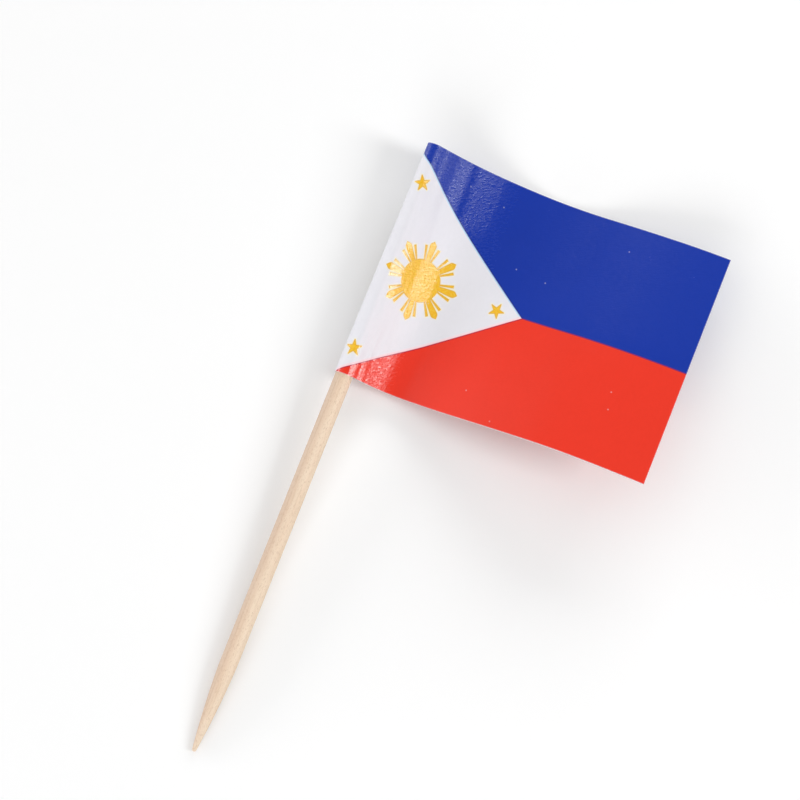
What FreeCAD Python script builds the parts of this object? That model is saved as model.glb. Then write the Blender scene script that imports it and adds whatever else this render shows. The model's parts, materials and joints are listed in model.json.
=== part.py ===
import FreeCAD, Part
import math
import os

# A small paper flag on a wooden toothpick, in millimetres, lying as it comes to rest.
# It is drawn upright in its own axes first: the pick runs along Y with its point at -Y,
# the leaf leaves the pick along +X, and the side with the print to be seen faces +Z.
# The last step turns both pieces into the pose in which they lie on a table.

# The pick: a round stick of pale wood, pointed below and tapered inside the flag.
pick_radius = 0.9
pick_below_flag = 40.0
point_length = 9.0
point_tip_radius = 0.22
point_belly_height = 0.1
pick_top_radius = 0.74
pick_end_inset = 0.4
pick_end_chamfer = 0.15

# The flag: one strip of printed paper, folded round the pick and glued back to back.
# Its front layer leaves the pick in a straight line, and its back layer bends up to meet it.
flag_height = 25.0
paper = 0.1
glue_film = 0.02
pinch_radius = 1.0
slot_end_width = 0.06

# The leaf's bends, from the pick to the fly edge: the length of each along the paper.
root_length = 5.0
hollow_length = 6.0
rise_length = 7.0
crown_length = 7.0
fly_length = 5.9

# How far each of them turns towards the front, in degrees, at the lower and the upper edge.
lower_turns = (52.0, 11.0, -4.0, -24.0, -9.0)
upper_turns = (16.0, 14.0, 24.0, -6.0, -12.0)

# The pose at rest: the turn about the pick, then the lean that lifts the pick's top.
rest_turn = 36.0
rest_lean = 3.5

bend_lengths = (root_length, hollow_length, rise_length, crown_length, fly_length)
lower_edge = -flag_height / 2
upper_edge = flag_height / 2
roll_radius_low = pick_radius + glue_film + paper
roll_radius_high = pick_top_radius + glue_film + paper


def at(x, y, z):
    """A point of the upright flag."""
    return FreeCAD.Vector(x, y, z)


def arc(first, middle, last):
    """The edge of a round stretch through three points."""
    return Part.Arc(first, middle, last).toShape()


def line(first, last):
    """The edge of a straight stretch between two points."""
    return Part.LineSegment(first, last).toShape()


def roll_radius(y):
    """Outer radius of the paper round the pick at a height y."""
    share = (y - lower_edge) / flag_height
    return roll_radius_low + share * (roll_radius_high - roll_radius_low)


def pinch_centre(y):
    """Centre (x, z) of the bend in which the back layer leaves the roll to meet the front one."""
    radius = roll_radius(y)
    z = radius - 2 * paper - pinch_radius
    return math.sqrt((radius + pinch_radius) ** 2 - z ** 2), z


def pinch_bend(y, growth, start_angle):
    """Edge of that bend, from start_angle off the leaf to the roll, grown towards the pick."""
    x, z = pinch_centre(y)
    end_angle = math.atan2(x, -z)
    reach = pinch_radius + growth
    points = []
    for angle in (start_angle, (start_angle + end_angle) / 2, end_angle):
        points.append(at(x - reach * math.sin(angle), y, z + reach * math.cos(angle)))
    return arc(*points)


def roll_arc(y, radius):
    """Edge from the front of the roll, over the fold and round the back, to the pinch's bend."""
    x, z = pinch_centre(y)
    first, last = math.pi / 2, 2 * math.pi + math.atan2(z, x)
    points = []
    for angle in (first, (first + last) / 2, last):
        points.append(at(radius * math.cos(angle), y, radius * math.sin(angle)))
    return arc(*points)


def leaf_side(y, turns, offset):
    """Edges of the leaf's section along one face, an offset away from its glued middle."""
    edges = []
    x, _ = pinch_centre(y)
    z, heading = roll_radius(y) - paper, 0.0
    for length, turn in zip(bend_lengths, turns):
        swing = math.radians(turn)
        bend = length / swing
        centre_x = x - bend * math.sin(heading)
        centre_z = z + bend * math.cos(heading)
        points = []
        for angle in (heading, heading + swing / 2, heading + swing):
            reach = bend - offset
            points.append(at(centre_x + reach * math.sin(angle), y, centre_z - reach * math.cos(angle)))
        edges.append(arc(*points))
        heading += swing
        x = centre_x + bend * math.sin(heading)
        z = centre_z - bend * math.cos(heading)
    return edges


def paper_outline(y, turns):
    """The strip's outer section at a height y, as a closed wire."""
    front = leaf_side(y, turns, paper)
    back = leaf_side(y, turns, -paper)
    radius = roll_radius(y)
    over_pick = line(at(0, y, radius), at(pinch_centre(y)[0], y, radius))
    fly = line(front[-1].Vertexes[-1].Point, back[-1].Vertexes[-1].Point)
    edges = [over_pick] + front + [fly] + back[::-1] + [pinch_bend(y, 0.0, 0.0), roll_arc(y, radius)]
    return Part.Wire(Part.__sortEdges__(edges))


def slot_outline(y):
    """The space inside the fold at a height y, from the pick to where the layers meet."""
    radius = roll_radius(y) - paper
    start_angle = math.acos(1 - slot_end_width / (pinch_radius + paper))
    back = pinch_bend(y, paper, start_angle)
    end_low = back.Vertexes[0].Point
    end_high = at(end_low.x, y, radius)
    front = line(at(0, y, radius), end_high)
    return Part.Wire(Part.__sortEdges__([front, line(end_high, end_low), back, roll_arc(y, radius)]))


def paper_flag():
    """The folded strip: a leaf of two layers and the roll round the pick, one solid."""
    outlines = [paper_outline(lower_edge, lower_turns), paper_outline(upper_edge, upper_turns)]
    strip = Part.makeLoft(outlines, True, True)
    slots = [slot_outline(lower_edge - paper), slot_outline(upper_edge + paper)]
    return strip.cut(Part.makeLoft(slots, True, True)).Solids[0]


def toothpick():
    """The turned wooden pick, with its point at -Y and its blunt end inside the flag."""
    tip = lower_edge - pick_below_flag
    shoulder = tip + point_length
    top = upper_edge - pick_end_inset
    tip_corner = at(point_tip_radius, tip + point_tip_radius, 0)
    shoulder_corner = at(pick_radius, shoulder, 0)
    point_middle = (tip_corner + shoulder_corner) * 0.5 + at(point_belly_height, 0, 0)
    nose_middle = at(point_tip_radius * math.sin(math.pi / 4), tip + point_tip_radius * (1 - math.cos(math.pi / 4)), 0)
    paper_corner = at(pick_radius, lower_edge, 0)
    chamfer_low = at(pick_top_radius, top - pick_end_chamfer, 0)
    chamfer_high = at(pick_top_radius - pick_end_chamfer, top, 0)
    axis_low, axis_high = at(0, tip, 0), at(0, top, 0)
    profile = [
        arc(axis_low, nose_middle, tip_corner),
        arc(tip_corner, point_middle, shoulder_corner),
        line(shoulder_corner, paper_corner),
        line(paper_corner, chamfer_low),
        line(chamfer_low, chamfer_high),
        line(chamfer_high, axis_high),
        line(axis_high, axis_low),
    ]
    half_section = Part.Face(Part.Wire(profile))
    return half_section.revolve(at(0, 0, 0), at(0, 1, 0), 360)


def laid_down(pieces):
    """The pieces turned into their pose at rest, on the floor, with the origin under their middle."""
    turn = FreeCAD.Rotation(at(0, 1, 0), rest_turn)
    lean = FreeCAD.Rotation(at(1, 0, 0), rest_lean)
    for piece in pieces.values():
        piece.Placement = FreeCAD.Placement(at(0, 0, 0), lean.multiply(turn))
    box = Part.makeCompound(list(pieces.values())).optimalBoundingBox(False, False)
    to_floor = at(-box.Center.x, -box.Center.y, -box.ZMin)
    for piece in pieces.values():
        piece.translate(to_floor)
    return pieces


def main():
    """Build both pieces and write each to its own file."""
    os.makedirs("parts", exist_ok=True)
    pieces = laid_down({"toothpick": toothpick(), "paper_flag": paper_flag()})
    for name, piece in pieces.items():
        piece.exportStep(f"parts/{name}.step")
        box = piece.optimalBoundingBox(False, False)
        print(f"{name}: {piece.ShapeType}, valid {piece.isValid()}, {piece.Volume:.2f} mm3")
        print(f"  from {box.XMin:.2f} {box.YMin:.2f} {box.ZMin:.2f} to {box.XMax:.2f} {box.YMax:.2f} {box.ZMax:.2f}")


main()
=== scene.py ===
"""Looks, light and camera for a printed paper flag on a wooden toothpick, lying on a pale table."""

from __future__ import annotations

import json
import logging
import math
from dataclasses import dataclass, field
from enum import Enum, IntEnum

import bpy
import numpy as np
from mathutils import Matrix, Vector

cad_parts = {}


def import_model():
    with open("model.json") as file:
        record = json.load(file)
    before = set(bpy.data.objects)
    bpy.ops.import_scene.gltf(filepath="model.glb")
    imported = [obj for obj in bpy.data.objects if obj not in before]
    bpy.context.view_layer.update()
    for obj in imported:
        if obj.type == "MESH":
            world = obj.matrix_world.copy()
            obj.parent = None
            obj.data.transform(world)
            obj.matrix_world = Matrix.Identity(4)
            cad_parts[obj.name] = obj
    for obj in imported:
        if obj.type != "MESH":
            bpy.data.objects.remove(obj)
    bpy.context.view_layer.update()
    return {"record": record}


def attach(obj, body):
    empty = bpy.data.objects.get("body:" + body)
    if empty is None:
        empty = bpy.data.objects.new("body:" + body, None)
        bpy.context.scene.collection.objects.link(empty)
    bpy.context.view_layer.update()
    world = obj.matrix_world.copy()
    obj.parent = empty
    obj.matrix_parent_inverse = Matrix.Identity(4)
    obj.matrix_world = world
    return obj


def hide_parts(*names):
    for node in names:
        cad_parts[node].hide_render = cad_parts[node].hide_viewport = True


LOG = logging.getLogger("flag_toothpick")
MM = 0.001
STRIP = "strip"
COLUMN = "column"
BAKE_MAP = "OFBake"

Colour = tuple[float, float, float, float]
Limits = tuple[float, float]
Socket = bpy.types.NodeSocket
Tree = bpy.types.NodeTree


def ink(red: int, green: int, blue: int) -> Colour:
    """A colour for a shader, from the 0 to 255 values that a screen shows.

    Args:
        red: the red value.
        green: the green value.
        blue: the blue value.

    Returns:
        The same colour in linear light, with full alpha.
    """
    shares = [value / 255 for value in (red, green, blue)]
    linear = [share / 12.92 if share <= 0.04045 else ((share + 0.055) / 1.055) ** 2.4 for share in shares]
    return (linear[0], linear[1], linear[2], 1.0)


class Facing(IntEnum):
    """The kinds of paper surface, in the order of the flag's material slots."""

    PRINTED = 0
    CUT_EDGE = 1
    GLUED = 2


class Edge(Enum):
    """The two long edges of the strip, by their place along the pick."""

    LOWER = -1
    UPPER = 1


class Board:
    """A node tree, with short calls that add nodes and join them."""

    def __init__(self, tree: Tree) -> None:
        """Keep the tree that the nodes go into."""
        self.tree = tree

    def feed(self, socket: Socket, value: object) -> None:
        """Give an input its value, or join it to the output that feeds it.

        Args:
            socket: the input.
            value: an output socket, or a plain value.
        """
        if isinstance(value, Socket):
            self.tree.links.new(value, socket)
        else:
            socket.default_value = value

    def add(self, kind: str, feeds: dict | None = None, **settings: object) -> bpy.types.Node:
        """Add a node.

        Args:
            kind: Blender's name for the node type.
            feeds: values or outputs, by the name or number of the input that takes them.
            settings: the node's own properties.

        Returns:
            The new node.
        """
        node = self.tree.nodes.new(kind)
        for name, value in settings.items():
            setattr(node, name, value)
        for name, value in (feeds or {}).items():
            self.feed(node.inputs[name], value)
        return node

    def math(self, operation: str, *values: object) -> Socket:
        """The output of one Math node over the values, in order."""
        return self.add("ShaderNodeMath", dict(enumerate(values)), operation=operation).outputs[0]

    def plus(self, first: object, second: object) -> Socket:
        """The sum of two values."""
        return self.math("ADD", first, second)

    def minus(self, first: object, second: object) -> Socket:
        """The first value less the second."""
        return self.math("SUBTRACT", first, second)

    def least(self, first: object, second: object) -> Socket:
        """The smaller of two values."""
        return self.math("MINIMUM", first, second)

    def most(self, first: object, second: object) -> Socket:
        """The larger of two values."""
        return self.math("MAXIMUM", first, second)

    def times(self, first: object, *others: object) -> Socket:
        """The product of the values."""
        product = first
        for value in others:
            product = self.math("MULTIPLY", product, value)
        return product

    def rise(self, value: object, low: object, high: object) -> Socket:
        """A smooth step from 0 at the low value to 1 at the high one."""
        feeds = {"Value": value, "From Min": low, "From Max": high}
        return self.add("ShaderNodeMapRange", feeds, interpolation_type="SMOOTHSTEP").outputs["Result"]

    def fall(self, value: object, low: object, high: object) -> Socket:
        """A smooth step from 1 at the low value to 0 at the high one."""
        return self.minus(1.0, self.rise(value, low, high))

    def spread(self, value: object, low: float, high: float) -> Socket:
        """A value from 0 to 1, spread between two others."""
        feeds = {"Value": value, "To Min": low, "To Max": high}
        return self.add("ShaderNodeMapRange", feeds).outputs["Result"]

    def blend(self, share: object, first: object, second: object) -> Socket:
        """A colour between two others, by a share from 0 to 1."""
        node = self.add("ShaderNodeMix", data_type="RGBA")
        for number, value in ((0, share), (6, first), (7, second)):
            self.feed(node.inputs[number], value)
        return node.outputs[2]

    def noise(self, vector: Socket, scale: object, detail: float, roughness: float = 0.5,
              distortion: float = 0.0) -> Socket:
        """The value of a noise texture at a place."""
        feeds = {"Vector": vector, "Scale": scale, "Detail": detail, "Roughness": roughness}
        return self.add("ShaderNodeTexNoise", {**feeds, "Distortion": distortion}).outputs[0]

    def split(self, vector: Socket) -> bpy.types.NodeOutputs:
        """The three numbers of a vector."""
        return self.add("ShaderNodeSeparateXYZ", {0: vector}).outputs

    def join(self, *numbers: object) -> Socket:
        """A vector of three numbers."""
        return self.add("ShaderNodeCombineXYZ", dict(enumerate(numbers))).outputs[0]

    def far_off(self, first: Socket, second: Socket) -> Socket:
        """How far a place lies from the middle, from its two offsets."""
        return self.math("SQRT", self.plus(self.times(first, first), self.times(second, second)))

    def attribute(self, name: str) -> Socket:
        """A vector that the mesh carries."""
        node = self.add("ShaderNodeAttribute", attribute_type="GEOMETRY", attribute_name=name)
        return node.outputs["Vector"]

    def relief(self, shader: bpy.types.Node, height: Socket, strength: float) -> None:
        """Bend the shader's normal by a height in millimetres."""
        bump = self.add("ShaderNodeBump", {"Height": height, "Distance": MM, "Strength": strength})
        self.feed(shader.inputs["Normal"], bump.outputs[0])

    def place(self, group: Tree, feeds: dict) -> bpy.types.Node:
        """Add a node group of this tree's kind, with its inputs fed by name."""
        kind = "GeometryNodeGroup" if self.tree.bl_idname == "GeometryNodeTree" else "ShaderNodeGroup"
        node = self.add(kind, node_tree=group)
        for name, value in feeds.items():
            self.feed(node.inputs[name], value)
        return node


def emptied(holder: bpy.types.ID) -> Board:
    """The board of a material or a world, with no nodes on it."""
    holder.use_nodes = True
    holder.node_tree.nodes.clear()
    return Board(holder.node_tree)


def shown(name: str, data: bpy.types.ID) -> bpy.types.Object:
    """A new object in the scene."""
    thing = bpy.data.objects.new(name, data)
    bpy.context.scene.collection.objects.link(thing)
    return thing


def settle(piece: bpy.types.Object) -> None:
    """Turn what the piece's modifiers make into its own mesh."""
    ready = piece.evaluated_get(bpy.context.evaluated_depsgraph_get())
    result = bpy.data.meshes.new_from_object(ready)
    piece.modifiers.clear()
    piece.data = result


def mark(mesh: bpy.types.Mesh, name: str, values: list[float]) -> None:
    """Give each point of a mesh a number."""
    mesh.attributes.new(name, "FLOAT", "POINT").data.foreach_set("value", values)


class Recipe:
    """A Geometry Nodes tree with named inputs, and the calls that run it on a guide mesh."""

    def __init__(self, name: str, sizes: dict[str, tuple[str, object]]) -> None:
        """Start the tree.

        Args:
            name: the tree's name.
            sizes: the socket kind and the value of each input, by name.
        """
        self.tree = bpy.data.node_groups.new(name, "GeometryNodeTree")
        self.sizes = sizes
        faces = self.tree.interface
        faces.new_socket("Guide", in_out="INPUT", socket_type="NodeSocketGeometry")
        faces.new_socket("Piece", in_out="OUTPUT", socket_type="NodeSocketGeometry")
        for label, (kind, _) in sizes.items():
            faces.new_socket(label, in_out="INPUT", socket_type=kind)
        self.board = Board(self.tree)
        self.inputs = self.board.add("NodeGroupInput").outputs

    def close(self, geometry: Socket) -> None:
        """End the tree in Realize Instances and Set Material."""
        real = self.board.add("GeometryNodeRealizeInstances", {0: geometry}).outputs[0]
        dressed = self.board.add("GeometryNodeSetMaterial", {0: real, "Material": self.inputs["Finish"]})
        self.board.add("NodeGroupOutput", {0: dressed.outputs[0]})

    def run(self, name: str, guide: bpy.types.Mesh) -> bpy.types.Object:
        """Make the piece.

        Args:
            name: the name of the piece.
            guide: the guide mesh that the tree reads.

        Returns:
            An object at the origin that holds the result as a plain mesh.
        """
        piece = shown(name, guide)
        modifier = piece.modifiers.new("recipe", "NODES")
        modifier.node_group = self.tree
        for socket in self.tree.interface.items_tree:
            if socket.in_out == "INPUT" and socket.name in self.sizes:
                modifier[socket.identifier] = self.sizes[socket.name][1]
        settle(piece)
        piece.data.name = name
        return piece


@dataclass(frozen=True)
class Rest:
    """Where the upright flag's own axes lie on the table. Sizes are in millimetres and degrees."""

    shaft_middle: Vector
    turn: float = 36.0
    lean: float = 3.5
    origin_above_shaft_middle: float = 28.0

    @property
    def turned(self) -> Matrix:
        """The turn from the upright axes to the table's."""
        leant = Matrix.Rotation(math.radians(self.lean), 4, "X")
        return leant @ Matrix.Rotation(math.radians(self.turn), 4, "Y")

    @property
    def matrix(self) -> Matrix:
        """From upright millimetres to metres on the table."""
        origin = self.shaft_middle + self.turned @ Vector((0, self.origin_above_shaft_middle * MM, 0))
        return Matrix.Translation(origin) @ self.turned @ Matrix.Scale(MM, 4)


@dataclass(frozen=True)
class Bend:
    """One bend of the leaf: its length, and how far it turns to the front at each edge, in degrees."""

    length: float
    lower: float
    upper: float

    def turn(self, edge: Edge) -> float:
        """The turn at one edge, in radians."""
        return math.radians(self.lower if edge is Edge.LOWER else self.upper)


@dataclass
class Toothpick:
    """The turned stick of pale wood: pointed below, tapered and blunt inside the flag."""

    rest: Rest
    radius: float = 0.9
    below_flag: float = 40.0
    half_flag: float = 12.5
    point_length: float = 9.0
    tip_radius: float = 0.22
    belly: float = 0.1
    top_radius: float = 0.74
    end_inset: float = 0.4
    chamfer: float = 0.15
    sides: int = 96
    step: float = 0.5
    weld: float = 0.2e-6
    sharp_angle: float = 35.0

    def outline(self) -> list[tuple[float, float]]:
        """The stick's (height, radius) pairs, from its point to its blunt end."""
        tip = -self.half_flag - self.below_flag
        shoulder = tip + self.point_length
        top = self.half_flag - self.end_inset
        pairs = []
        for part in range(7):
            angle = math.radians(15 * part)
            pairs.append((tip + self.tip_radius * (1 - math.cos(angle)), self.tip_radius * math.sin(angle)))
        rise = self.radius - self.tip_radius
        for part in range(1, 25):
            share = part / 24
            height = tip + self.tip_radius + share * (self.point_length - self.tip_radius)
            pairs.append((height, self.tip_radius + rise * share + 4 * self.belly * share * (1 - share)))
        for height in np.arange(shoulder + self.step, -self.half_flag, self.step):
            pairs.append((float(height), self.radius))
        pairs.append((-self.half_flag, self.radius))
        pairs.append((top - self.chamfer, self.top_radius))
        pairs.append((top, self.top_radius - self.chamfer))
        pairs.append((top, 0.0))
        return pairs

    def recipe(self, finish: bpy.types.Material) -> Recipe:
        """The tree that turns the stick on its axis line."""
        recipe = Recipe("turned stick", {
            "Sides": ("NodeSocketInt", self.sides),
            "Finish": ("NodeSocketMaterial", finish),
        })
        board, inputs = recipe.board, recipe.inputs
        curve = board.add("GeometryNodeMeshToCurve", {0: inputs["Guide"]}).outputs[0]
        width = board.add("GeometryNodeInputNamedAttribute", {"Name": "width"}, data_type="FLOAT").outputs[0]
        sized = board.add("GeometryNodeSetCurveRadius", {0: curve, "Radius": width}).outputs[0]
        ring = board.add("GeometryNodeCurvePrimitiveCircle", {"Resolution": inputs["Sides"], "Radius": 1.0})
        feeds = {"Curve": sized, "Profile Curve": ring.outputs[0], "Scale": width}
        turned = board.add("GeometryNodeCurveToMesh", feeds).outputs[0]
        recipe.close(board.add("GeometryNodeMergeByDistance", {0: turned, "Distance": self.weld}).outputs[0])
        return recipe

    def build(self, finish: bpy.types.Material) -> bpy.types.Object:
        """Make the stick.

        Args:
            finish: its wood.

        Returns:
            The finished piece.
        """
        pairs = self.outline()
        guide = bpy.data.meshes.new("pick axis")
        points = [self.rest.matrix @ Vector((0, height, 0)) for height, _ in pairs]
        guide.from_pydata(points, [(at, at + 1) for at in range(len(points) - 1)], [])
        mark(guide, "width", [radius * MM for _, radius in pairs])
        piece = self.recipe(finish).run("pick", guide)
        piece.data.set_sharp_from_angle(angle=math.radians(self.sharp_angle))
        return piece


@dataclass
class PaperFlag:
    """The strip of printed paper: folded round the stick, and glued back to back into a leaf."""

    rest: Rest
    height: float = 25.0
    paper: float = 0.1
    wall: float = 0.098
    pick_low: float = 0.9
    pick_high: float = 0.74
    glue: float = 0.02
    pinch: float = 1.0
    bends: tuple[Bend, ...] = (
        Bend(5.0, 52.0, 16.0),
        Bend(6.0, 11.0, 14.0),
        Bend(7.0, -4.0, 24.0),
        Bend(7.0, -24.0, -6.0),
        Bend(5.9, -9.0, -12.0),
    )
    leaf_step: float = 0.25
    roll_steps: int = 64
    rows: int = 81
    sharp_angle: float = 50.0
    fold: float = -4.46
    fold_margin: float = 1.5
    print_span: float = 56.0
    print_left: float = 0.01
    front_start: float = 0.52
    plain_span: float = 110.0
    glued_left: float = 0.71
    rim_lefts: Limits = (0.955, 0.975)
    rim_width: float = 0.012
    crosswise_start: float = 0.72
    map_start: float = 0.02
    finishes: list[bpy.types.Material] = field(default_factory=list)

    def roll_radius(self, edge: Edge) -> float:
        """Outer radius of the paper round the stick."""
        return (self.pick_low if edge is Edge.LOWER else self.pick_high) + self.glue + self.paper

    def leaf(self, edge: Edge, start: tuple[float, float], offset: float) -> list[tuple[float, float, float]]:
        """One face of the leaf's section.

        Args:
            edge: the strip's edge.
            start: where the leaf's glued middle starts, across the stick and to the front.
            offset: how far in front of the middle the face lies.

        Returns:
            Points from the stick to the fly edge: across, to the front, and length along the paper.
        """
        x, z = start
        heading, walked = 0.0, 0.0
        points = []
        for bend in self.bends:
            turn = bend.turn(edge)
            radius = bend.length / turn
            centre = (x - radius * math.sin(heading), z + radius * math.cos(heading))
            steps = round(bend.length / self.leaf_step)
            for part in range(0 if bend is self.bends[0] else 1, steps + 1):
                angle = heading + turn * part / steps
                reach = radius - offset
                across = centre[0] + reach * math.sin(angle)
                front = centre[1] - reach * math.cos(angle)
                points.append((across, front, walked + bend.length * part / steps))
            heading += turn
            walked += bend.length
            x = centre[0] + radius * math.sin(heading)
            z = centre[1] - radius * math.cos(heading)
        return points

    def section(self, edge: Edge) -> list[tuple[float, float, float]]:
        """The printed face's section at one edge of the strip.

        Args:
            edge: the strip's edge.

        Returns:
            Points from the back's fly edge to the front's: across, to the front, and the length
            along the paper from where the glued leaf starts on the front.
        """
        radius = self.roll_radius(edge)
        middle = radius - 2 * self.paper - self.pinch
        reach = math.sqrt((radius + self.pinch) ** 2 - middle ** 2)
        start = (reach, radius - self.paper)
        front = self.leaf(edge, start, self.paper)
        points = front[::-1]
        for part in range(1, 9):
            points.append((reach * (1 - part / 8), radius, -reach * part / 8))
        first, last = math.pi / 2, 2 * math.pi + math.atan2(middle, reach)
        for part in range(1, self.roll_steps + 1):
            angle = first + (last - first) * part / self.roll_steps
            walked = -reach - radius * (angle - first)
            points.append((radius * math.cos(angle), radius * math.sin(angle), walked))
        swing = math.atan2(reach, -middle)
        for part in range(1, 13):
            angle = swing * (1 - part / 12)
            across = reach - self.pinch * math.sin(angle)
            to_front = middle + self.pinch * math.cos(angle)
            points.append((across, to_front, walked - self.pinch * (swing - angle)))
        walked -= self.pinch * swing
        for across, to_front, length in self.leaf(edge, start, -self.paper)[1:]:
            points.append((across, to_front, walked - length))
        return points[::-1]

    def guide(self) -> bpy.types.Mesh:
        """A mesh of loose points: the lower edge's section, then the upper edge's."""
        mesh = bpy.data.meshes.new("paper section")
        points, lengths, insets = [], [], []
        for edge in Edge:
            section = self.section(edge)
            for across, to_front, length in section:
                points.append(self.rest.matrix @ Vector((across, edge.value * self.height / 2, to_front)))
                lengths.append(length)
                insets.append(min(length - section[0][2], section[-1][2] - length))
        mesh.from_pydata(points, [], [])
        mark(mesh, "length", lengths)
        mark(mesh, "inset", insets)
        return mesh

    def recipe(self, columns: int) -> Recipe:
        """The tree that rules the paper between the two sections."""
        recipe = Recipe("ruled paper", {
            "Columns": ("NodeSocketInt", columns),
            "Rows": ("NodeSocketInt", self.rows),
            "Height": ("NodeSocketFloat", self.height),
            "Finish": ("NodeSocketMaterial", self.finishes[Facing.PRINTED]),
        })
        board, inputs = recipe.board, recipe.inputs
        feeds = {"Vertices X": inputs["Columns"], "Vertices Y": inputs["Rows"]}
        grid = board.add("GeometryNodeMeshGrid", feeds).outputs[0]
        number = board.add("GeometryNodeInputIndex").outputs[0]
        column = board.math("FLOOR", board.math("DIVIDE", board.plus(number, 0.5), inputs["Rows"]))
        row = board.minus(number, board.times(column, inputs["Rows"]))
        share = board.math("DIVIDE", row, board.minus(inputs["Rows"], 1.0))
        above = board.plus(column, inputs["Columns"])
        place = board.add("GeometryNodeInputPosition").outputs[0]
        kind = "GeometryNodeInputNamedAttribute"
        walked, inset = (board.add(kind, {"Name": name}).outputs[0] for name in ("length", "inset"))

        def ruled(value: Socket, kind: str) -> Socket:
            """A value of the guide, spread between the two sections."""
            ends = []
            for index in (column, above):
                feeds = {"Geometry": inputs["Guide"], "Index": index}
                node = board.add("GeometryNodeSampleIndex", feeds, data_type=kind)
                board.feed(node.inputs["Value"], value)
                ends.append(node.outputs[0])
            mixed = board.add("ShaderNodeMix", data_type="VECTOR" if kind == "FLOAT_VECTOR" else "FLOAT")
            first, out = (4, 1) if kind == "FLOAT_VECTOR" else (2, 0)
            for at, fed in ((0, share), (first, ends[0]), (first + 1, ends[1])):
                board.feed(mixed.inputs[at], fed)
            return mixed.outputs[out]

        length, margin = ruled(walked, "FLOAT"), ruled(inset, "FLOAT")
        down = board.times(inputs["Height"], board.minus(1.0, share))
        sheet = grid
        stored = ((COLUMN, "FLOAT", column), (STRIP, "FLOAT_VECTOR", board.join(length, down, margin)))
        for name, kind, value in stored:
            store = board.add("GeometryNodeStoreNamedAttribute", {0: sheet, "Name": name}, data_type=kind)
            board.feed(store.inputs["Value"], value)
            sheet = store.outputs[0]
        feeds = {0: sheet, "Position": ruled(place, "FLOAT_VECTOR")}
        moved = board.add("GeometryNodeSetPosition", feeds).outputs[0]
        recipe.close(board.add("GeometryNodeSetShadeSmooth", {0: moved}).outputs[0])
        return recipe

    def build(self) -> bpy.types.Object:
        """Make the flag: the ruled sheet, then its thickness."""
        guide = self.guide()
        piece = self.recipe(len(guide.vertices) // 2).run("folded_paper", guide)
        for finish in self.finishes[1:]:
            piece.data.materials.append(finish)
        wall = piece.modifiers.new("wall", "SOLIDIFY")
        wall.thickness = self.wall * MM
        wall.offset = -1
        wall.use_even_offset = True
        wall.material_offset_rim = Facing.CUT_EDGE.value
        wall.material_offset = Facing.GLUED.value
        outer = len(piece.data.vertices)
        settle(piece)
        piece.data.set_sharp_from_angle(angle=math.radians(self.sharp_angle))
        self.unroll(piece.data, outer)
        return piece

    def unroll(self, mesh: bpy.types.Mesh, outer: int) -> None:
        """Lay the strip out flat in a map of its own, so that a baked print keeps its sharpness.

        Args:
            mesh: the finished sheet with its thickness.
            outer: how many of its first points lie on the printed face.
        """
        strip = np.empty(len(mesh.vertices) * 3, np.float32)
        mesh.attributes[STRIP].data.foreach_get("vector", strip)
        strip = strip.reshape(-1, 3)
        column = np.empty(len(mesh.vertices), np.float32)
        mesh.attributes[COLUMN].data.foreach_get("value", column)
        fold_column = column[np.argmin(np.abs(strip[:outer, 0] - self.fold))]
        first, last = float(strip[:, 0].min()), float(strip[:, 0].max())
        places = np.zeros((len(mesh.loops), 2), np.float32)
        for face in mesh.polygons:
            corners = list(face.vertices)
            middle_column = float(column[corners].mean())
            length, down = strip[corners, 0], strip[corners, 1]
            if face.material_index == Facing.PRINTED:
                front = middle_column > fold_column
                margin = self.fold_margin
                along = (length - self.fold + margin) if front else (self.fold + margin - length)
                u = self.print_left + along / self.print_span
                start = self.front_start if front else self.map_start
                v = start + (self.height - down) / self.print_span
            elif face.material_index == Facing.GLUED:
                u = self.glued_left + down / self.plain_span
                v = self.map_start + (length - first) / self.plain_span
            else:
                inner = np.array([corner >= outer for corner in corners], np.float32)
                crosswise = float(np.ptp(column[corners])) < 0.5
                late = (middle_column > fold_column) if crosswise else float(down.mean()) > self.height / 2
                u = self.rim_lefts[int(late)] + self.rim_width * inner
                v = self.map_start + (length - first) / self.plain_span
                if crosswise:
                    v = self.crosswise_start + down / self.plain_span
            loops = slice(face.loop_start, face.loop_start + len(corners))
            places[loops, 0] = u
            places[loops, 1] = v
        LOG.info("unrolled the strip from %.1f to %.1f mm", first, last)
        mesh.uv_layers.new(name=BAKE_MAP).data.foreach_set("uv", places.ravel())


@dataclass(frozen=True)
class Gloss:
    """Constant surface values, which stay on the shader's own sockets."""

    ior: float = 1.5
    roughness: float = 0.6

    def start(self, name: str) -> tuple[bpy.types.Material, Board, bpy.types.Node]:
        """Make a material with one principled shader.

        Args:
            name: the material's name.

        Returns:
            The material, its board and the shader.
        """
        finish = bpy.data.materials.new(name)
        board = emptied(finish)
        shader = board.add("ShaderNodeBsdfPrincipled", {"IOR": self.ior, "Roughness": self.roughness})
        board.add("ShaderNodeOutputMaterial", {"Surface": shader.outputs[0]})
        return finish, board, shader


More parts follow.
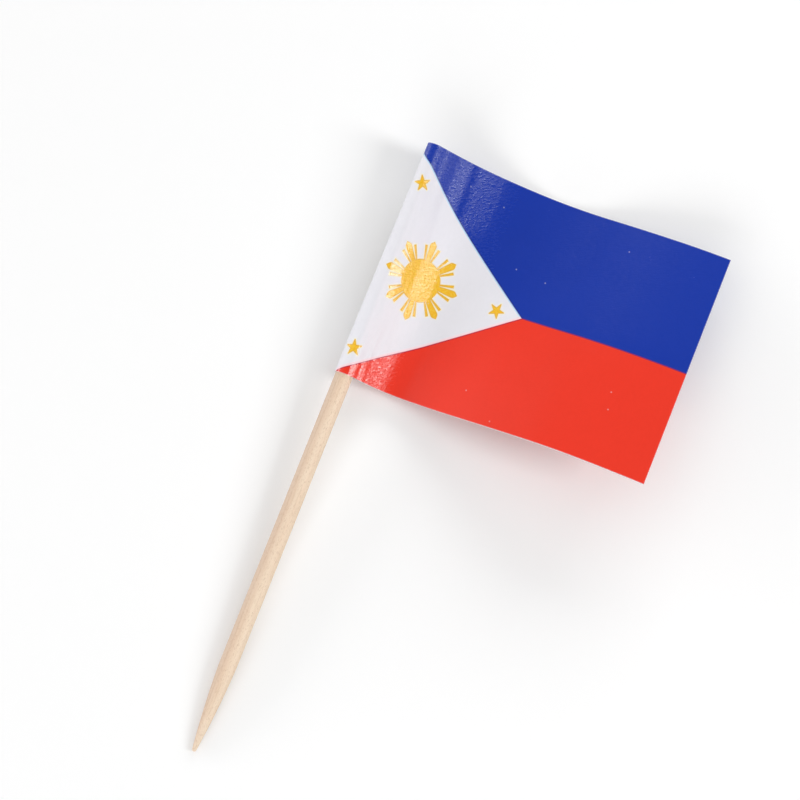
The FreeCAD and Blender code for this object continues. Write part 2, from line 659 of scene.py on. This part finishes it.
class Effects:
    """Shader node groups that several materials share, each built once. Sizes are in millimetres."""

    figure_inputs = {"Strip": ("Vector", None), "Centre": ("Vector", None), "Turn": ("Float", 0.0)}
    fibre_turn = 0.6
    fibre_scale = (1.0, 0.55, 0.0)
    cloud_scale = 0.45
    stroke_turn = -0.5
    stroke_size = (0.55, 0.19, 1.0)
    stroke_limits = (0.36, 0.64)
    stroke_height = 0.24
    fine_share = 0.6
    star_spike = math.radians(18)
    star_blunting = 0.86
    broad_ray = (0.075, 0.27)
    broad_ray_point = 1.05
    broad_ray_rounding = 0.3
    broad_ray_root = 0.3
    side_ray_middle = (0.262, 0.395)
    side_ray = (0.04, 0.1)
    side_ray_root = 0.1
    fringe_start = (-0.4, 0.3)
    fringe_end = (0.5, 1.7)

    def __init__(self) -> None:
        """Build the groups."""
        self.grain = self.paper_grain()
        self.star = self.five_point_star()
        self.sun = self.rayed_sun()
        self.border = self.printed_border()

    @staticmethod
    def group(name: str, inputs: dict[str, tuple[str, object]], outputs: tuple[str, ...]) -> tuple:
        """Start a group.

        Args:
            name: the group's name.
            inputs: the kind and the usual value of each input, by name.
            outputs: the names of its outputs, each a number.

        Returns:
            The group's tree, its board, and the outputs of its input node.
        """
        tree = bpy.data.node_groups.new(name, "ShaderNodeTree")
        for label, (kind, value) in inputs.items():
            socket = tree.interface.new_socket(label, in_out="INPUT", socket_type=f"NodeSocket{kind}")
            if value is not None:
                socket.default_value = value
        for label in outputs:
            tree.interface.new_socket(label, in_out="OUTPUT", socket_type="NodeSocketFloat")
        board = Board(tree)
        return tree, board, board.add("NodeGroupInput").outputs

    def paper_grain(self) -> Tree:
        """Fine fibres, faint clouds and short strokes of a paper surface, in millimetres on the strip."""
        inputs = {"Strip": ("Vector", None), "Fineness": ("Float", 3.0), "Depth": ("Float", 0.002)}
        tree, board, given = self.group("paper grain", inputs, ("Height", "Shade", "Strokes"))
        feeds = {"Vector": given["Strip"], "Rotation": (0.0, 0.0, self.fibre_turn), "Scale": self.fibre_scale}
        fibres = board.add("ShaderNodeMapping", feeds).outputs[0]
        fine = board.noise(fibres, given["Fineness"], 3.0, 0.6)
        cloud = board.noise(given["Strip"], self.cloud_scale, 2.0)
        turn = (0.0, 0.0, self.stroke_turn)
        feeds = {"Vector": given["Strip"], "Rotation": turn, "Scale": self.stroke_size}
        drawn = board.add("ShaderNodeMapping", feeds, vector_type="TEXTURE").outputs[0]
        strokes = board.rise(board.noise(drawn, 1.0, 2.0, 0.6), *self.stroke_limits)
        rough = board.plus(fine, board.times(strokes, self.stroke_height))
        height = board.times(rough, given["Depth"])
        shade = board.plus(board.times(fine, self.fine_share), board.times(cloud, 1 - self.fine_share))
        board.add("NodeGroupOutput", {"Height": height, "Shade": shade, "Strokes": strokes})
        return tree

    def turned_fold(self, board: Board, given: bpy.types.NodeInputs, points: int) -> tuple:
        """Fold the plane round a centre, so that one point of a figure stands for all.

        Args:
            board: the group's board.
            given: the group's inputs, with Strip, Centre, Turn and Reach.
            points: how many points the figure has.

        Returns:
            The distance from the centre, and the place along and beside the folded point's axis.
        """
        feeds = {0: given["Strip"], 1: given["Centre"]}
        offset = board.add("ShaderNodeVectorMath", feeds, operation="SUBTRACT")
        parts = board.split(offset.outputs[0])
        across, up = parts[0], board.times(parts[1], -1.0)
        distance = board.far_off(across, up)
        angle = board.minus(board.math("ARCTAN2", up, across), given["Turn"])
        step = 2 * math.pi / points
        folded = board.math("WRAP", angle, step / 2, -step / 2)
        beside = board.times(distance, board.math("ABSOLUTE", board.math("SINE", folded)))
        return distance, board.times(distance, board.math("COSINE", folded)), beside

    def five_point_star(self) -> Tree:
        """A plain five-pointed star: how far inside its outline a place lies, in millimetres."""
        inputs = {**self.figure_inputs, "Reach": ("Float", 1.0)}
        tree, board, given = self.group("five point star", inputs, ("Depth",))
        distance, along, beside = self.turned_fold(board, given, 5)
        short = board.times(board.minus(given["Reach"], along), math.sin(self.star_spike))
        depth = board.minus(short, board.times(beside, math.cos(self.star_spike)))
        blunt = board.minus(board.times(given["Reach"], self.star_blunting), distance)
        board.add("NodeGroupOutput", {"Depth": board.least(depth, blunt)})
        return tree

    def rayed_sun(self) -> Tree:
        """A disc with eight groups of three rays: how far inside its outline a place lies, in millimetres."""
        sizes = {"Disc": ("Float", 2.2), "Reach": ("Float", 4.25), "Short reach": ("Float", 3.67)}
        inputs = {**self.figure_inputs, **sizes}
        tree, board, given = self.group("rayed sun", inputs, ("Depth", "Between"))
        distance, along, beside = self.turned_fold(board, given, 8)
        disc = board.minus(given["Disc"], distance)
        root = board.minus(along, given["Disc"])
        width = board.math("MULTIPLY_ADD", root, *self.broad_ray)
        point = board.times(board.minus(given["Reach"], along), self.broad_ray_point)
        end = board.math("SMOOTH_MIN", width, point, self.broad_ray_rounding)
        broad_root = board.plus(root, self.broad_ray_root)
        long_ray = board.least(board.minus(end, beside), broad_root)
        middle = board.math("MULTIPLY_ADD", root, *self.side_ray_middle)
        off = board.math("ABSOLUTE", board.minus(beside, middle))
        side_ray = board.minus(board.math("MULTIPLY_ADD", root, *self.side_ray), off)
        side_ray = board.times(side_ray, math.cos(math.atan(self.side_ray_middle[0])))
        side_end = board.minus(given["Short reach"], distance)
        side_root = board.plus(root, self.side_ray_root)
        side_ray = board.least(board.least(side_ray, side_end), side_root)
        between = board.least(board.minus(middle, beside), side_end)
        between = board.least(between, side_root)
        depth = board.most(disc, board.most(long_ray, side_ray))
        board.add("NodeGroupOutput", {"Depth": depth, "Between": between})
        return tree

    def printed_border(self) -> Tree:
        """Where two inks meet: the share of each side, a light fringe inside and a dark one outside."""
        inputs = {"Depth": ("Float", 0.0), "Blur": ("Float", 0.05), "Fringe": ("Float", 0.1)}
        tree, board, given = self.group("printed border", inputs, ("Inside", "Light", "Dark"))
        inside = board.rise(given["Depth"], board.times(given["Blur"], -1.0), given["Blur"])
        fringes = []
        for sign in (1.0, -1.0):
            off = board.math("DIVIDE", board.times(given["Depth"], sign), given["Fringe"])
            near = board.fall(off, *self.fringe_end)
            fringes.append(board.times(near, board.rise(off, *self.fringe_start)))
        board.add("NodeGroupOutput", {"Inside": inside, "Light": fringes[0], "Dark": fringes[1]})
        return tree


@dataclass(frozen=True)
class Spot:
    """A printed figure's centre on the strip, and the direction of its first point, in degrees."""

    along: float
    down: float
    turn: float

    @property
    def feeds(self) -> dict[str, object]:
        """The figure's inputs for its group."""
        return {"Centre": (self.along, self.down, 0.0), "Turn": math.radians(self.turn)}


class Ripple:
    """Creases along the strip: pairs of a place and of how high the paper stands there, in millimetres."""

    start = -3.0
    stop = 14.0
    low = -0.35
    high = 0.35

    def __init__(self, *points: tuple[float, float]) -> None:
        """Keep the pairs."""
        self.points = points

    def height(self, board: Board, along: Socket) -> Socket:
        """The paper's height over its smooth shape.

        Args:
            board: the material's board.
            along: the place along the strip.

        Returns:
            The height, in millimetres.
        """
        feeds = {"Value": along, "From Min": self.start, "From Max": self.stop}
        share = board.add("ShaderNodeMapRange", feeds).outputs["Result"]
        node = board.add("ShaderNodeFloatCurve", {"Value": share})
        curve = node.mapping.curves[0]
        for place, height in self.points:
            at = (place - self.start) / (self.stop - self.start)
            curve.points.new(at, (height - self.low) / (self.high - self.low))
        flat = -self.low / (self.high - self.low)
        curve.points[0].location = (0.0, flat)
        curve.points[-1].location = (1.0, flat)
        node.mapping.update()
        return board.spread(node.outputs[0], self.low, self.high)


@dataclass(frozen=True)
class PrintedPaper:
    """The flag's print in fields of colour, with a satin gloss. Sizes are in millimetres on the strip."""

    effects: Effects
    fold: float = -4.46
    point: tuple[float, float] = (13.121, 13.129)
    upper_slope: float = 0.721
    lower_slope: float = 0.701
    middle_slope: float = -0.013
    blue: Colour = ink(4, 51, 167)
    red: Colour = ink(244, 55, 33)
    white: Colour = ink(238, 237, 243)
    gold: Colour = ink(250, 188, 32)
    gold_light: Colour = ink(252, 206, 66)
    gold_shade: Colour = ink(216, 164, 56)
    cream: Colour = ink(255, 246, 205)
    cyan: Colour = ink(190, 224, 252)
    pink: Colour = ink(255, 222, 228)
    dark_blue: Colour = ink(20, 40, 128)
    dark_red: Colour = ink(186, 22, 60)
    violet: Colour = ink(92, 36, 92)
    sun: Spot = Spot(1.575, 13.2, 0.0)
    stars: tuple[Spot, ...] = (
        Spot(-2.203, 4.208, 42.0),
        Spot(-2.672, 22.209, 30.0),
        Spot(10.305, 13.227, 2.0),
    )
    gloss: Gloss = Gloss(1.54, 0.2)
    blue_roughness: float = 0.21
    red_roughness: float = 0.13
    gold_roughness: float = 0.2
    pressed_roughness: float = 0.09
    bare_roughness: float = 0.52
    bare_grain: float = 0.007
    ink_grain: float = 0.033
    height: float = 25.0
    field_blur: float = 0.05
    upper_fringe: float = 0.11
    lower_fringe: float = 0.18
    dark_fringe: float = 0.1
    seam_fringe: float = 0.07
    seam_share: float = 0.55
    halo: Limits = (-0.16, -0.02)
    halo_share: float = 0.7
    between: Limits = (-0.02, 0.06)
    between_share: float = 0.8
    gold_edge: Limits = (-0.05, 0.05)
    gold_rim: Limits = (0.0, 0.16)
    rim_share: float = 0.6
    gold_patches: Limits = (0.35, 0.68)
    speck_scale: float = 0.28
    speck_size: Limits = (0.012, 0.03)
    speck_rarity: float = 0.86
    pressed_calm: float = 0.8
    lower_calm: float = 0.9
    dark_share: float = 0.95
    pink_share: float = 0.95
    upper_creases_end: Limits = (4.5, 9.0)
    lower_creases_start: Limits = (17.0, 21.5)
    pressed_until: Limits = (-0.8, -0.55)
    pressed_from_down: Limits = (7.0, 11.0)
    gold_pressed_until_down: Limits = (15.0, 18.0)
    calm_from: Limits = (4.5, 9.0)
    lower_calm_from: Limits = (2.0, 3.4)
    lower_from_down: Limits = (14.0, 18.0)
    red_gloss_from_down: Limits = (10.0, 16.0)
    # Painted highlight: where the gold of the ray beside the fold is paled toward cream, and how strongly.
    painted_glare_from: Limits = (-2.25, -2.1)
    painted_glare_until: Limits = (-0.85, -0.6)
    painted_glare_from_down: Limits = (11.0, 12.0)
    painted_glare_until_down: Limits = (14.5, 15.5)
    painted_glare_share: float = 0.3
    speck_share: float = 0.3
    burr_inset: Limits = (0.02, 0.08)
    burr_share: float = 0.25
    stroke_roughness: Limits = (0.22, 0.28)
    lower_grain: float = 1.25
    calm_grain: float = 0.3
    calm_strokes: float = 0.23
    fineness: float = 3.4
    shade_range: float = 0.045
    roughness_range: float = 0.04
    top_ripple: Ripple = Ripple(
        (-2.3, 0.0), (-1.87, 0.0), (-1.62, 0.03), (-1.2, 0.01), (-0.93, 0.0), (-0.55, 0.045),
        (1.1, -0.11), (2.25, -0.115), (3.6, 0.05), (4.4, 0.03), (5.2, -0.03), (6.0, -0.12),
        (6.5, -0.18), (7.5, -0.2), (9.0, -0.15), (11.0, -0.05), (13.0, 0.0),
    )
    middle_ripple: Ripple = Ripple(
        (-2.5, 0.0), (-2.15, 0.0), (-0.72, 0.17), (0.2, 0.15), (0.97, 0.06), (1.13, 0.047), (1.6, 0.033),
        (2.2, -0.015), (2.8, -0.08), (3.3, -0.14), (4.2, -0.165), (7.0, -0.1), (10.0, 0.0),
    )
    bottom_ripple: Ripple = Ripple(
        (-2.4, 0.0), (-1.95, 0.0), (-1.77, 0.021), (-1.05, 0.0), (-0.92, 0.018), (-0.72, 0.014),
        (-0.56, 0.034), (-0.15, 0.01), (0.3, 0.042), (0.5, 0.067), (0.68, 0.055), (0.9, 0.062),
        (1.1, 0.036), (1.35, 0.026), (1.6, -0.012), (2.0, -0.05), (2.6, -0.08), (4.0, -0.04), (6.0, 0.0),
    )

    def border(self, board: Board, depth: Socket, fringe: float) -> bpy.types.NodeOutputs:
        """The shares along one printed border."""
        feeds = {"Depth": depth, "Blur": self.field_blur, "Fringe": fringe}
        return board.place(self.effects.border, feeds).outputs

    def fields(self, board: Board, along: Socket, down: Socket) -> tuple:
        """The blue and red fields and the white triangle at the stick.

        Args:
            board: the material's board.
            along: the place along the strip, mirrored at the fold.
            down: the place down from the strip's upper edge.

        Returns:
            The colour, and the share of bare white.
        """
        before = board.minus(self.point[0], along)
        below = board.minus(down, self.point[1])
        over = board.math("MULTIPLY_ADD", before, self.upper_slope, below)
        under = board.minus(board.times(before, self.lower_slope), below)
        over = board.math("DIVIDE", over, math.hypot(1, self.upper_slope))
        under = board.math("DIVIDE", under, math.hypot(1, self.lower_slope))
        middle = board.minus(board.times(before, -self.middle_slope), below)
        halves = self.border(board, middle, self.seam_fringe)
        inks = board.blend(halves["Inside"], self.red, self.blue)
        seam = board.times(board.most(halves["Light"], halves["Dark"]), self.seam_share)
        inks = board.blend(seam, inks, self.violet)
        upper = self.border(board, over, self.upper_fringe)
        lower = self.border(board, under, self.lower_fringe)
        nearest = self.border(board, board.least(over, under), self.dark_fringe)
        edge_ink = board.blend(halves["Inside"], self.dark_red, self.dark_blue)
        inks = board.blend(board.times(nearest["Dark"], self.dark_share), inks, edge_ink)
        pale = board.blend(upper["Light"], self.white, self.cyan)
        pale = board.blend(board.times(lower["Light"], self.pink_share), pale, self.pink)
        inside = board.times(upper["Inside"], lower["Inside"])
        return board.blend(inside, inks, pale), inside

    def figures(self, board: Board, strip: Socket, ground: Socket) -> tuple:
        """The golden sun and the three stars over the fields.

        Args:
            board: the material's board.
            strip: the place on the strip, mirrored at the fold.
            ground: the colour under the figures.

        Returns:
            The colour, and the share of gold.
        """
        sun = board.place(self.effects.sun, {"Strip": strip, **self.sun.feeds}).outputs
        depth = sun["Depth"]
        for spot in self.stars:
            star = board.place(self.effects.star, {"Strip": strip, **spot.feeds}).outputs["Depth"]
            depth = board.most(depth, star)
        halo = board.times(board.rise(depth, *self.halo), self.halo_share)
        between = board.times(board.rise(sun["Between"], *self.between), self.between_share)
        halo = board.most(halo, between)
        colour = board.blend(halo, ground, self.cream)
        rim = board.fall(depth, *self.gold_rim)
        dots = board.noise(strip, 4.5, 3.0, 0.7)
        gold = board.blend(board.rise(dots, *self.gold_patches), self.gold, self.gold_light)
        gold = board.blend(board.times(rim, self.rim_share), gold, self.gold_shade)
        printed = board.rise(depth, *self.gold_edge)
        return board.blend(printed, colour, gold), printed

    def specks(self, board: Board, strip: Socket) -> Socket:
        """The share of the few tiny pale specks in the ink."""
        feeds = {"Vector": strip, "Scale": self.speck_scale, "Randomness": 1.0}
        cells = board.add("ShaderNodeTexVoronoi", feeds, voronoi_dimensions="2D").outputs
        chosen = board.add("ShaderNodeSeparateColor", {0: cells["Color"]}).outputs[0]
        near = board.fall(cells["Distance"], *self.speck_size)
        return board.times(near, board.math("GREATER_THAN", chosen, self.speck_rarity))

    def creases(self, board: Board, along: Socket, down: Socket) -> Socket:
        """The soft creases beside the stick, from the strip's upper edge to its lower one."""
        ripples = (self.top_ripple, self.middle_ripple, self.bottom_ripple)
        top, middle, bottom = (ripple.height(board, along) for ripple in ripples)
        to_middle = board.rise(down, *self.upper_creases_end)
        to_bottom = board.rise(down, *self.lower_creases_start)
        height = board.plus(top, board.times(to_middle, board.minus(middle, top)))
        return board.plus(height, board.times(to_bottom, board.minus(bottom, height)))

    def worn_and_painted_glare(self, board: Board, colour: Socket, gold: Socket, place: Socket) -> Socket:
        """The print with a painted highlight that pales the ray beside the fold toward cream, a few pale
        specks and pale cut edges.

        Args:
            board: the material's board.
            colour: the printed colour.
            gold: the share of gold.
            place: the place on the strip, and its distance from the nearest fly edge.

        Returns:
            The worn colour.
        """
        length, down, inset = board.split(place)
        # Painted highlight: the gold of the ray beside the fold, paled toward cream as glare would wash it
        # out.
        painted_glare = board.times(board.rise(length, *self.painted_glare_from), board.fall(length, *self.painted_glare_until))
        painted_glare = board.times(painted_glare, board.rise(down, *self.painted_glare_from_down))
        painted_glare = board.times(painted_glare, board.fall(down, *self.painted_glare_until_down))
        colour = board.blend(board.times(painted_glare, board.times(gold, self.painted_glare_share)), colour, self.cream)
        specks = self.specks(board, board.join(length, down, 0.0))
        colour = board.blend(board.times(specks, self.speck_share), colour, self.white)
        rim = board.least(down, board.minus(self.height, down))
        burr = board.fall(board.least(inset, rim), *self.burr_inset)
        return board.blend(board.times(burr, self.burr_share), colour, self.white)

    def material(self) -> bpy.types.Material:
        """The finish."""
        finish, board, shader = self.gloss.start("printed paper")
        place = board.attribute(STRIP)
        length, down, _ = board.split(place)
        from_fold = board.math("ABSOLUTE", board.minus(length, self.fold))
        along = board.plus(from_fold, self.fold)
        ground, bare = self.fields(board, along, down)
        colour, gold = self.figures(board, board.join(along, down, 0.0), ground)
        # Adds the painted highlight on the ray beside the fold, the pale specks and the pale cut edges.
        colour = self.worn_and_painted_glare(board, colour, gold, place)
        inked = board.minus(1.0, board.times(bare, board.minus(1.0, gold)))
        lower = board.rise(down, *self.lower_from_down)
        pressed = board.fall(along, *self.pressed_until)
        pressed = board.times(pressed, board.rise(down, *self.pressed_from_down))
        calm = board.most(board.rise(along, *self.calm_from), board.times(pressed, self.pressed_calm))
        still = board.times(board.rise(along, *self.lower_calm_from), board.times(lower, self.lower_calm))
        calm = board.most(calm, still)
        strained = board.spread(calm, 1.0, self.calm_grain)
        strained = board.times(strained, board.spread(lower, 1.0, self.lower_grain))
        depth = board.spread(inked, self.bare_grain, board.times(self.ink_grain, strained))
        feeds = {"Strip": board.join(length, down, 0.0), "Fineness": self.fineness, "Depth": depth}
        grain = board.place(self.effects.grain, feeds).outputs
        value = board.spread(grain["Shade"], 1 - self.shade_range, 1 + self.shade_range)
        toned = board.add("ShaderNodeHueSaturation", {"Value": value, "Color": colour}).outputs[0]
        board.feed(shader.inputs["Base Color"], toned)
        broken = board.spread(calm, 1.0, self.calm_strokes)
        broken = board.times(broken, board.spread(lower, *self.stroke_roughness))
        broken = board.times(grain["Strokes"], broken)
        matt = board.rise(down, *self.red_gloss_from_down)
        matt = board.spread(matt, self.blue_roughness, self.red_roughness)
        matt = board.plus(board.spread(pressed, matt, self.pressed_roughness), broken)
        matt = board.spread(bare, matt, self.bare_roughness)
        smoothed = board.times(pressed, board.fall(down, *self.gold_pressed_until_down))
        gilt = board.spread(smoothed, self.gold_roughness, self.pressed_roughness)
        matt = board.plus(matt, board.times(gold, board.minus(gilt, matt)))
        uneven = board.spread(grain["Shade"], -self.roughness_range, self.roughness_range)
        board.feed(shader.inputs["Roughness"], board.plus(matt, uneven))
        height = board.plus(self.creases(board, length, down), grain["Height"])
        board.relief(shader, height, 1.0)
        return finish


@dataclass(frozen=True)
class BarePaper:
    """Unprinted white paper, as on the cut edges and the glued faces."""

    effects: Effects
    name: str
    light: Colour = ink(244, 243, 245)
    dark: Colour = ink(226, 225, 229)
    gloss: Gloss = Gloss(1.5, 0.75)
    fineness: float = 5.0
    grain_depth: float = 0.006

    def material(self) -> bpy.types.Material:
        """The finish."""
        finish, board, shader = self.gloss.start(self.name)
        feeds = {"Strip": board.attribute(STRIP), "Fineness": self.fineness, "Depth": self.grain_depth}
        grain = board.place(self.effects.grain, feeds).outputs
        board.feed(shader.inputs["Base Color"], board.blend(grain["Shade"], self.dark, self.light))
        board.relief(shader, grain["Height"], 0.6)
        return finish


@dataclass(frozen=True)
class PickWood:
    """Pale dry wood with fine fibres along the stick, with painted shade down its left side."""

    rest: Rest
    light: Colour = ink(251, 229, 203)
    middle: Colour = ink(243, 213, 184)
    # Painted shade: the darker colour that the stick's left side is blended toward.
    side: Colour = ink(223, 197, 175)
    dark: Colour = ink(208, 174, 142)
    gloss: Gloss = Gloss(1.5, 0.62)
    fibre_length: float = 22.0
    pore_shortness: float = 9.0
    shaded_side_limits: Limits = (-0.7, 0.65)
    ring_limits: Limits = (0.02, 0.1)
    streak_share: float = 0.4
    fleck_share: float = 0.5
    ring_share: float = 0.55
    roughness: Limits = (0.5, 0.72)
    fibre_depth: float = 0.03

    def material(self) -> bpy.types.Material:
        """The finish."""
        finish, board, shader = self.gloss.start("pale wood")
        place = board.add("ShaderNodeTexCoord").outputs["Object"]
        feeds = {
            "Vector": place,
            "Location": tuple(self.rest.matrix.translation),
            "Rotation": (math.radians(self.rest.lean), 0.0, 0.0),
            "Scale": (MM, MM * self.fibre_length, MM),
        }
        fibres = board.add("ShaderNodeMapping", feeds, vector_type="TEXTURE").outputs[0]
        fine = board.noise(fibres, 5.5, 5.0, 0.62, 0.25)
        broad = board.noise(fibres, 1.5, 2.0)
        feeds = {0: fibres, 1: (1.0, self.pore_shortness, 1.0)}
        short = board.add("ShaderNodeVectorMath", feeds, operation="MULTIPLY").outputs[0]
        pores = board.noise(short, 8.5, 3.0, 0.7)
        tone = board.blend(board.rise(broad, 0.3, 0.7), self.middle, self.light)
        across = board.split(fibres)[0]
        # Painted shade: the stick's left side, away from the light, is blended toward the side colour.
        side = board.fall(board.plus(across, board.times(broad, 0.3)), *self.shaded_side_limits)
        tone = board.blend(board.times(side, 0.9), tone, self.side)
        off = board.math("ABSOLUTE", board.plus(board.math("MULTIPLY_ADD", broad, 0.5, 0.2), across))
        ring = board.times(board.fall(off, *self.ring_limits), board.rise(pores, 0.3, 0.6))
        streaks = board.times(board.rise(fine, 0.5, 0.72), self.streak_share)
        flecks = board.times(board.rise(pores, 0.52, 0.66), self.fleck_share)
        dark = board.most(board.most(streaks, flecks), board.times(ring, self.ring_share))
        board.feed(shader.inputs["Base Color"], board.blend(dark, tone, self.dark))
        board.feed(shader.inputs["Roughness"], board.spread(fine, *self.roughness))
        height = board.times(board.plus(fine, board.times(pores, 0.5)), self.fibre_depth)
        board.relief(shader, height, 0.8)
        return finish


@dataclass(frozen=True)
class Softbox:
    """A rectangular lamp: its direction from the flag, its angular size in degrees, and its brightness."""

    name: str
    direction: tuple[float, float, float]
    across: float
    along: float
    brightness: float
    distance: float = 0.6
    spread: float = 180.0

    def hang(self, middle: Vector) -> None:
        """Hang the lamp so that it faces the flag's middle.

        Args:
            middle: the place that it faces.
        """
        data = bpy.data.lights.new(self.name, "AREA")
        data.shape = "RECTANGLE"
        data.size = 2 * self.distance * math.tan(math.radians(self.across / 2))
        data.size_y = 2 * self.distance * math.tan(math.radians(self.along / 2))
        data.energy = self.brightness * data.size * data.size_y * 4
        data.spread = math.radians(self.spread)
        lamp = shown(self.name, data)
        lamp.visible_camera = False
        toward = Vector(self.direction).normalized()
        turned = toward.to_track_quat("Z", "Y").to_matrix().to_4x4()
        lamp.matrix_world = Matrix.Translation(middle + toward * self.distance) @ turned


@dataclass
class Studio:
    """The table, the plain soft light and the camera. Sizes are in metres and degrees."""

    rest: Rest
    azimuth: float = 31.855
    tilt: float = 7.187
    roll: float = 21.686
    shift_right: float = -0.00096
    shift_up: float = 0.014017
    distance: float = 0.3034
    half_view: float = 0.04
    sky: float = 0.26
    table_glow: float = 0.06
    far_glow: float = 0.8
    far_from: Limits = (0.4, 0.6)
    low_until: Limits = (0.25, 0.35)
    table_reach: float = 1.2
    table_curve: float = 0.3
    backdrop_height: float = 0.75
    lamps: tuple[Softbox, ...] = (
        Softbox("window strip", (0.809, 0.017, 0.588), 14.0, 26.0, 8.7),
        Softbox("upper softbox", (0.0, 0.91, 0.41), 50.0, 24.0, 3.1),
        Softbox("lower softbox", (0.0, -0.88, 0.47), 50.0, 24.0, 2.9),
        Softbox("left fill", (-0.975, 0.0, 0.22), 60.0, 14.0, 3.6),
        Softbox("left glow", (-0.83, 0.0, 0.56), 72.0, 90.0, 0.08, spread=80.0),
    )

    def camera(self) -> None:
        """Put the camera where the photo was taken from."""
        view = Matrix.Rotation(math.radians(-self.roll), 4, "Z")
        view = view @ Matrix.Rotation(math.radians(-self.tilt), 4, "X")
        view = view @ Matrix.Rotation(math.radians(self.azimuth), 4, "Y")
        turned = self.rest.turned @ view.transposed()
        origin = self.rest.matrix.translation
        data = bpy.data.cameras.new("camera")
        data.sensor_width = 36.0
        data.lens = data.sensor_width / 2 / (self.half_view / self.distance)
        data.clip_start = 0.01
        data.clip_end = 20.0
        camera = shown("camera", data)
        place = turned @ Vector((-self.shift_right, -self.shift_up, self.distance))
        camera.matrix_world = Matrix.Translation(origin + place) @ turned
        bpy.context.scene.camera = camera

    def world(self) -> None:
        """An even dim grey light from all round."""
        world = bpy.data.worlds.new("even light")
        bpy.context.scene.world = world
        board = emptied(world)
        light = board.add("ShaderNodeBackground", {"Color": (1, 1, 1, 1), "Strength": self.sky}).outputs[0]
        board.add("ShaderNodeOutputWorld", {"Surface": light})

    def table(self) -> None:
        """A wide pale table at height 0, which curves up into a low backdrop all round."""
        outline = [(self.table_reach * part / 3, 0.0) for part in range(4)]
        for part in range(1, 13):
            angle = math.radians(7.5 * part)
            reach = self.table_reach + self.table_curve * math.sin(angle)
            outline.append((reach, self.table_curve * (1 - math.cos(angle))))
        outline.append((self.table_reach + self.table_curve, self.backdrop_height))
        sides = 64
        points = [(0.0, 0.0, 0.0)]
        faces = []
        for reach, height in outline[1:]:
            for side in range(sides):
                angle = 2 * math.pi * side / sides
                points.append((reach * math.cos(angle), reach * math.sin(angle), height))
        for side in range(sides):
            following = (side + 1) % sides
            faces.append((0, 1 + side, 1 + following))
            for ring in range(len(outline) - 2):
                low, high = 1 + ring * sides, 1 + (ring + 1) * sides
                faces.append((low + side, high + side, high + following, low + following))
        mesh = bpy.data.meshes.new("table")
        mesh.from_pydata(points, [], faces)
        mesh.shade_smooth()
        table = shown("table", mesh)
        finish = bpy.data.materials.new("pale table")
        board = emptied(finish)
        path = board.add("ShaderNodeLightPath").outputs
        seen = board.most(path["Is Camera Ray"], path["Is Transmission Ray"])
        seen = board.most(seen, path["Is Glossy Ray"])
        colour = board.blend(seen, (0.6, 0.6, 0.6, 1), (0.97, 0.97, 0.97, 1))
        matt = board.add("ShaderNodeBsdfDiffuse", {"Color": colour}).outputs[0]
        parts = board.split(board.add("ShaderNodeTexCoord").outputs["Object"])
        reach = board.far_off(parts[0], parts[1])
        far = board.times(board.rise(reach, *self.far_from), board.fall(parts[2], *self.low_until))
        strength = board.times(seen, board.math("MULTIPLY_ADD", far, self.far_glow, self.table_glow))
        glow = board.add("ShaderNodeEmission", {"Strength": strength}).outputs[0]
        both = board.add("ShaderNodeAddShader", {0: matt, 1: glow}).outputs[0]
        board.add("ShaderNodeOutputMaterial", {"Surface": both})
        mesh.materials.append(finish)

    def build(self) -> None:
        """Set the table, the lamps, the world and the camera."""
        bpy.context.scene.view_settings.view_transform = "Standard"
        self.table()
        self.world()
        for lamp in self.lamps:
            lamp.hang(self.rest.matrix.translation)
        self.camera()


def main() -> None:
    """Build the flag and the stick, and set the studio round them."""
    logging.basicConfig(level=logging.INFO, format="%(name)s: %(message)s")
    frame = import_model()
    rest = Rest(Vector(frame["record"]["mounts"][0]["pos_m"]))
    effects = Effects()
    stick = Toothpick(rest).build(PickWood(rest).material())
    finishes = [PrintedPaper(effects).material()]
    finishes += [BarePaper(effects, name).material() for name in ("cut edge", "glued face")]
    paper = PaperFlag(rest, finishes=finishes).build()
    for piece, node, slot in ((stick, "toothpick", "pick_wood"), (paper, "paper_flag", "printed_paper")):
        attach(piece, "root")
        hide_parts(node)
        LOG.info("%s: %d faces", piece.name, len(piece.data.polygons))
    Studio(rest).build()
    bpy.context.view_layer.update()


if __name__ == "__main__":
    main()
